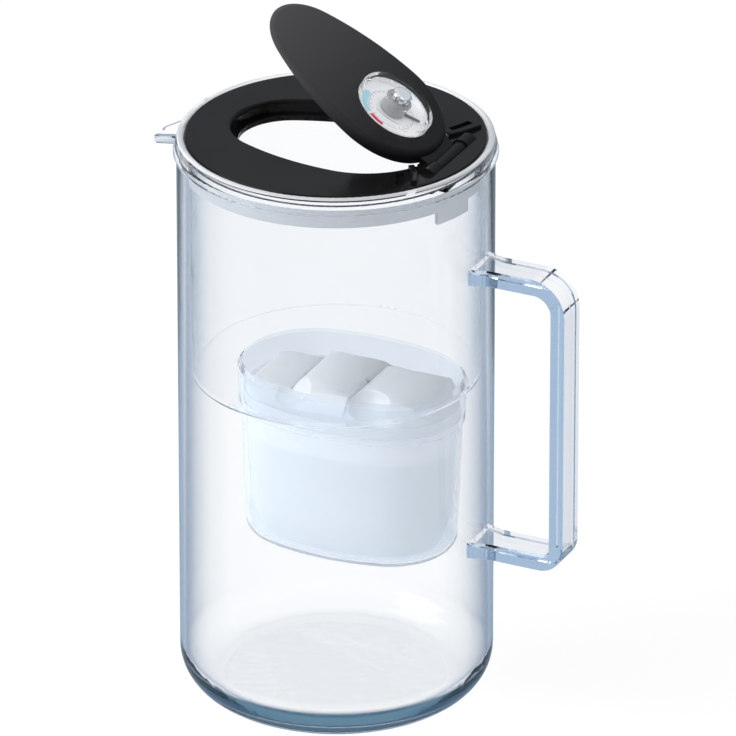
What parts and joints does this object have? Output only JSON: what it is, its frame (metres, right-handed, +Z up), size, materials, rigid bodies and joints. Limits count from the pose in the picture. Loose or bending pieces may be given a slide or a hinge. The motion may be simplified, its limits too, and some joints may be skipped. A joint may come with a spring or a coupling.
{
  "type": "glass water filter pitcher",
  "caption": "Glass jug with square strap handle and pour lip, lift-out filter funnel with oval cartridge, and black lid with hinged fill flap and change indicator.",
  "frame": {"origin": "centre of the jug's base underside", "axes": "+Z up along the jug, +X towards the handle, -X towards the pour lip"},
  "size_m": [0.1891, 0.1348, 0.3034],
  "materials": {
    "clear_glass": "clear pressed glass, faint blue edges",
    "clear_plastic": "clear moulded plastic",
    "soft_grey": "translucent grey silicone",
    "black_plastic": "black semi-gloss moulding",
    "pin_steel": "drawn steel",
    "spring_steel": "sheet spring steel",
    "white_plastic": "white moulding",
    "grey_plastic": "grey moulding",
    "bright_plate": "bright plated",
    "filter_shell": "milky translucent moulding",
    "filter_granules": "pale granules",
    "filter_mesh": "fine white mesh"
  },
  "bodies": {
    "jug": {"glass_jug": "clear_glass", "glass_handle": "clear_glass"},
    "funnel_set": {"funnel": "clear_plastic", "funnel_rim": "white_plastic", "funnel_gasket": "soft_grey"},
    "lid": {"lid_plate": "black_plastic", "hinge_pin": "pin_steel"},
    "flap": {"flap_cover": "black_plastic", "flap_liner": "black_plastic", "counter_housing": "black_plastic", "scale_disc": "white_plastic", "counter_lens": "clear_plastic", "detent_spring": "spring_steel"},
    "dial": {"reset_knob": "bright_plate", "knob_ring": "grey_plastic", "counter_pointer": "grey_plastic", "counter_spindle": "grey_plastic", "click_wheel": "white_plastic"},
    "cartridge": {"cartridge_shell": "filter_shell", "cartridge_gasket": "soft_grey", "cartridge_cap": "filter_shell", "cartridge_media": "filter_granules", "inlet_screen": "filter_mesh", "outlet_screen": "filter_mesh"}
  },
  "joints": [
    {"name": "funnel_lift", "type": "slide", "parent": "jug", "child": "funnel_set", "axis": [0, 0, 1], "range_m": [0, 0.19]},
    {"name": "lid_lift", "type": "slide", "parent": "funnel_set", "child": "lid", "axis": [0, 0, 1], "range_m": [0, 0.06]},
    {"name": "flap_hinge", "type": "hinge", "parent": "lid", "child": "flap", "pos_m": [0.051, 0, 0.2503], "axis": [0, 1, 0], "range_deg": [-33.5, 50]},
    {"name": "dial_turn", "type": "hinge", "parent": "flap", "child": "dial", "pos_m": [0.02636, 0, 0.26924], "axis": [0.5519, 0, 0.8339], "continuous": true},
    {"name": "cartridge_lift", "type": "slide", "parent": "funnel_set", "child": "cartridge", "axis": [0, 0, 1], "range_m": [0, 0.08]}
  ]
}
